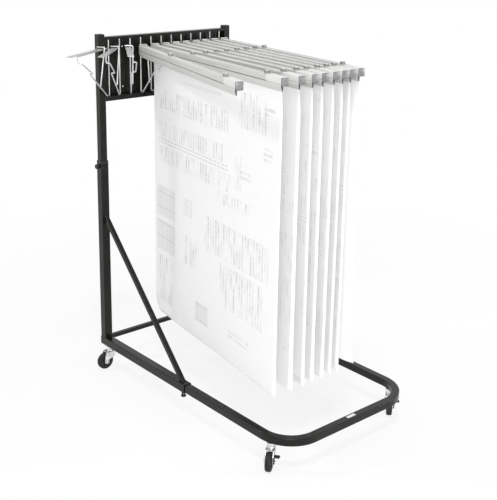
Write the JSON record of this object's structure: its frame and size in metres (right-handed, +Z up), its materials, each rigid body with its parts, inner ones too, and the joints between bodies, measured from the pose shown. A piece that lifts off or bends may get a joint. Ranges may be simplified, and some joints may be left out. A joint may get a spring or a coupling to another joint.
{
  "type": "plan hanging rack",
  "caption": "Mobile stand of black steel tube with a row of swinging wire hangers that carry long clamps and large hanging plan sheets.",
  "frame": {"origin": "on the floor, midway between the posts, under their rear faces", "axes": "+Z up; -Y towards the open front where the sheets are read; +X towards the rack's right side"},
  "size_m": [0.9942, 1.259, 1.53],
  "materials": {
    "frame_black": "black powder coat, semi-matt",
    "zinc_wire": "bright zinc plate on steel wire and strip",
    "zinc_fork": "bright zinc plate on pressed steel",
    "clamp_aluminium": "satin anodised extrusion",
    "black_plastic": "moulded black plastic",
    "black_rubber": "black rubber tread on a moulded wheel",
    "white_paper": "white plan paper with faint line work"
  },
  "bodies": {
    "rear_frame": {"lower_post_left": "frame_black", "lower_post_right": "frame_black", "rear_rail_left": "frame_black", "rear_rail_right": "frame_black", "rear_cross_bar": "frame_black", "braces": "frame_black", "post_collars_and_rail_plugs": "black_plastic", "rear_caster_stems": "zinc_fork"},
    "front_frame": {"front_frame": "frame_black", "front_caster_stems": "zinc_fork"},
    "upper_frame": {"upper_post_left": "frame_black", "upper_post_right": "frame_black", "hanger_panel": "frame_black", "post_caps": "black_plastic"},
    "height_knob_left": {"height_knob_left": "black_plastic"},
    "depth_knob_left": {"depth_knob_left": "black_plastic"},
    "height_knob_right": {"height_knob_right": "black_plastic"},
    "depth_knob_right": {"depth_knob_right": "black_plastic"},
    "hanger_01": {"hanger_01": "zinc_wire"},
    "hanger_02": {"hanger_02": "zinc_wire"},
    "hanger_03": {"hanger_03": "zinc_wire"},
    "hanger_04": {"hanger_04": "zinc_wire", "clamp_01": "clamp_aluminium"},
    "hanger_05": {"hanger_05": "zinc_wire", "clamp_02": "clamp_aluminium", "sheets_01": "white_paper"},
    "hanger_06": {"hanger_06": "zinc_wire", "clamp_03": "clamp_aluminium", "sheets_02": "white_paper"},
    "hanger_07": {"hanger_07": "zinc_wire", "clamp_04": "clamp_aluminium", "sheets_03": "white_paper"},
    "hanger_08": {"hanger_08": "zinc_wire", "clamp_05": "clamp_aluminium", "sheets_04": "white_paper"},
    "hanger_09": {"hanger_09": "zinc_wire", "clamp_06": "clamp_aluminium", "sheets_05": "white_paper"},
    "hanger_10": {"hanger_10": "zinc_wire", "clamp_07": "clamp_aluminium", "sheets_06": "white_paper"},
    "hanger_11": {"hanger_11": "zinc_wire", "clamp_08": "clamp_aluminium", "sheets_07": "white_paper"},
    "hanger_12": {"hanger_12": "zinc_wire", "clamp_09": "clamp_aluminium", "sheets_08": "white_paper"},
    "clamp_01_jaw": {"clamp_01_jaw": "clamp_aluminium"},
    "clamp_01_screw_rear": {"clamp_01_screw_rear": "clamp_aluminium"},
    "clamp_01_screw_front": {"clamp_01_screw_front": "clamp_aluminium"},
    "fork_rear_left": {"fork_rear_left": "zinc_fork"},
    "wheel_rear_left": {"wheel_rear_left": "black_rubber"},
    "fork_rear_right": {"fork_rear_right": "zinc_fork"},
    "wheel_rear_right": {"wheel_rear_right": "black_rubber"},
    "fork_front_left": {"fork_front_left": "zinc_fork"},
    "wheel_front_left": {"wheel_front_left": "black_rubber"},
    "pedal_left": {"pedal_left": "black_plastic"},
    "fork_front_right": {"fork_front_right": "zinc_fork"},
    "wheel_front_right": {"wheel_front_right": "black_rubber"},
    "pedal_right": {"pedal_right": "black_plastic"}
  },
  "joints": [
    {"name": "height_slide", "type": "slide", "parent": "rear_frame", "child": "upper_frame", "axis": [0, 0, 1], "range_m": [-0.225, 0.03]},
    {"name": "depth_slide", "type": "slide", "parent": "rear_frame", "child": "front_frame", "axis": [0, 1, 0], "range_m": [-0.05, 0.3]},
    {"name": "height_screw_left", "type": "hinge", "parent": "rear_frame", "child": "height_knob_left", "pos_m": [-0.376, -0.01905, 0.955], "axis": [-1, 0, 0], "range_deg": [0, 720]},
    {"name": "depth_screw_left", "type": "hinge", "parent": "rear_frame", "child": "depth_knob_left", "pos_m": [-0.34595, -0.605, 0.095], "axis": [0, 0, -1], "range_deg": [0, 720]},
    {"name": "height_screw_right", "type": "hinge", "parent": "rear_frame", "child": "height_knob_right", "pos_m": [0.376, -0.01905, 0.955], "axis": [1, 0, 0], "range_deg": [0, 720]},
    {"name": "depth_screw_right", "type": "hinge", "parent": "rear_frame", "child": "depth_knob_right", "pos_m": [0.34595, -0.605, 0.095], "axis": [0, 0, -1], "range_deg": [0, 720]},
    {"name": "hanger_01_swing", "type": "hinge", "parent": "upper_frame", "child": "hanger_01", "pos_m": [-0.3058, -0.024, 1.39], "axis": [0, 0, -1], "range_deg": [-8, 1]},
    {"name": "hanger_02_swing", "type": "hinge", "parent": "upper_frame", "child": "hanger_02", "pos_m": [-0.2502, -0.024, 1.39], "axis": [0, 0, -1], "range_deg": [-6, 6]},
    {"name": "hanger_03_swing", "type": "hinge", "parent": "upper_frame", "child": "hanger_03", "pos_m": [-0.1946, -0.024, 1.39], "axis": [0, 0, -1], "range_deg": [-8, 6]},
    {"name": "hanger_04_swing", "type": "hinge", "parent": "upper_frame", "child": "hanger_04", "pos_m": [-0.139, -0.024, 1.39], "axis": [0, 0, -1], "range_deg": [0, 14]},
    {"name": "hanger_05_swing", "type": "hinge", "parent": "upper_frame", "child": "hanger_05", "pos_m": [-0.0834, -0.024, 1.39], "axis": [0, 0, -1], "range_deg": [0, 14]},
    {"name": "hanger_06_swing", "type": "hinge", "parent": "upper_frame", "child": "hanger_06", "pos_m": [-0.0278, -0.024, 1.39], "axis": [0, 0, -1], "range_deg": [0, 14]},
    {"name": "hanger_07_swing", "type": "hinge", "parent": "upper_frame", "child": "hanger_07", "pos_m": [0.0278, -0.024, 1.39], "axis": [0, 0, -1], "range_deg": [0, 14]},
    {"name": "hanger_08_swing", "type": "hinge", "parent": "upper_frame", "child": "hanger_08", "pos_m": [0.0834, -0.024, 1.39], "axis": [0, 0, -1], "range_deg": [0, 14]},
    {"name": "hanger_09_swing", "type": "hinge", "parent": "upper_frame", "child": "hanger_09", "pos_m": [0.139, -0.024, 1.39], "axis": [0, 0, 1], "range_deg": [0, 13]},
    {"name": "hanger_10_swing", "type": "hinge", "parent": "upper_frame", "child": "hanger_10", "pos_m": [0.1946, -0.024, 1.39], "axis": [0, 0, 1], "range_deg": [0, 13]},
    {"name": "hanger_11_swing", "type": "hinge", "parent": "upper_frame", "child": "hanger_11", "pos_m": [0.2502, -0.024, 1.39], "axis": [0, 0, 1], "range_deg": [0, 13]},
    {"name": "hanger_12_swing", "type": "hinge", "parent": "upper_frame", "child": "hanger_12", "pos_m": [0.3058, -0.024, 1.39], "axis": [0, 0, 1], "range_deg": [0, 13]},
    {"name": "clamp_01_jaw_drop", "type": "slide", "parent": "hanger_04", "child": "clamp_01_jaw", "axis": [0, 0, 1], "range_m": [-0.0032, 0]},
    {"name": "clamp_01_screw_rear_turn", "type": "hinge", "parent": "hanger_04", "child": "clamp_01_screw_rear", "pos_m": [-0.26139, -0.40975, 1.48], "axis": [0, 0, 1], "range_deg": [0, 1440]},
    {"name": "clamp_01_screw_front_turn", "type": "hinge", "parent": "hanger_04", "child": "clamp_01_screw_front", "pos_m": [-0.41731, -0.94298, 1.48], "axis": [0, 0, 1], "range_deg": [0, 1440]},
    {"name": "caster_rear_left_swivel", "type": "hinge", "parent": "rear_frame", "child": "fork_rear_left", "pos_m": [-0.34595, -0.052, 0.092], "axis": [0, 0, 1], "continuous": true},
    {"name": "wheel_rear_left_spin", "type": "hinge", "parent": "fork_rear_left", "child": "wheel_rear_left", "pos_m": [-0.37895, -0.052, 0.0381], "axis": [0, -1, 0], "continuous": true},
    {"name": "caster_rear_right_swivel", "type": "hinge", "parent": "rear_frame", "child": "fork_rear_right", "pos_m": [0.34595, -0.052, 0.092], "axis": [0, 0, 1], "continuous": true},
    {"name": "wheel_rear_right_spin", "type": "hinge", "parent": "fork_rear_right", "child": "wheel_rear_right", "pos_m": [0.31423, -0.0611, 0.0381], "axis": [0.2756, -0.9613, 0], "continuous": true},
    {"name": "caster_front_left_swivel", "type": "hinge", "parent": "front_frame", "child": "fork_front_left", "pos_m": [-0.34045, -1.145, 0.092], "axis": [0, 0, 1], "continuous": true},
    {"name": "wheel_front_left_spin", "type": "hinge", "parent": "fork_front_left", "child": "wheel_front_left", "pos_m": [-0.36715, -1.1644, 0.0381], "axis": [0.5878, -0.809, 0], "continuous": true},
    {"name": "brake_pedal_left", "type": "hinge", "parent": "fork_front_left", "child": "pedal_left", "pos_m": [-0.36715, -1.1644, 0.0381], "axis": [0.5878, -0.809, 0], "range_deg": [0, 25]},
    {"name": "caster_front_right_swivel", "type": "hinge", "parent": "front_frame", "child": "fork_front_right", "pos_m": [0.34045, -1.145, 0.092], "axis": [0, 0, 1], "continuous": true},
    {"name": "wheel_front_right_spin", "type": "hinge", "parent": "fork_front_right", "child": "wheel_front_right", "pos_m": [0.31593, -1.16708, 0.0381], "axis": [0.6691, -0.7431, 0], "continuous": true},
    {"name": "brake_pedal_right", "type": "hinge", "parent": "fork_front_right", "child": "pedal_right", "pos_m": [0.31593, -1.16708, 0.0381], "axis": [0.6691, -0.7431, 0], "range_deg": [0, 25]}
  ],
  "couplings": [
    {"joint": "clamp_01_screw_rear_turn", "follows": "clamp_01_jaw_drop", "rad_per_m": -7853.9},
    {"joint": "clamp_01_screw_front_turn", "follows": "clamp_01_jaw_drop", "rad_per_m": -7853.9},
    {"joint": "hanger_05_swing", "follows": "hanger_04_swing", "ratio": 0.9},
    {"joint": "hanger_06_swing", "follows": "hanger_04_swing", "ratio": 0.8},
    {"joint": "hanger_07_swing", "follows": "hanger_04_swing", "ratio": 0.7},
    {"joint": "hanger_08_swing", "follows": "hanger_04_swing", "ratio": 0.6},
    {"joint": "hanger_11_swing", "follows": "hanger_12_swing", "ratio": 0.9},
    {"joint": "hanger_10_swing", "follows": "hanger_12_swing", "ratio": 0.8},
    {"joint": "hanger_09_swing", "follows": "hanger_12_swing", "ratio": 0.7}
  ]
}
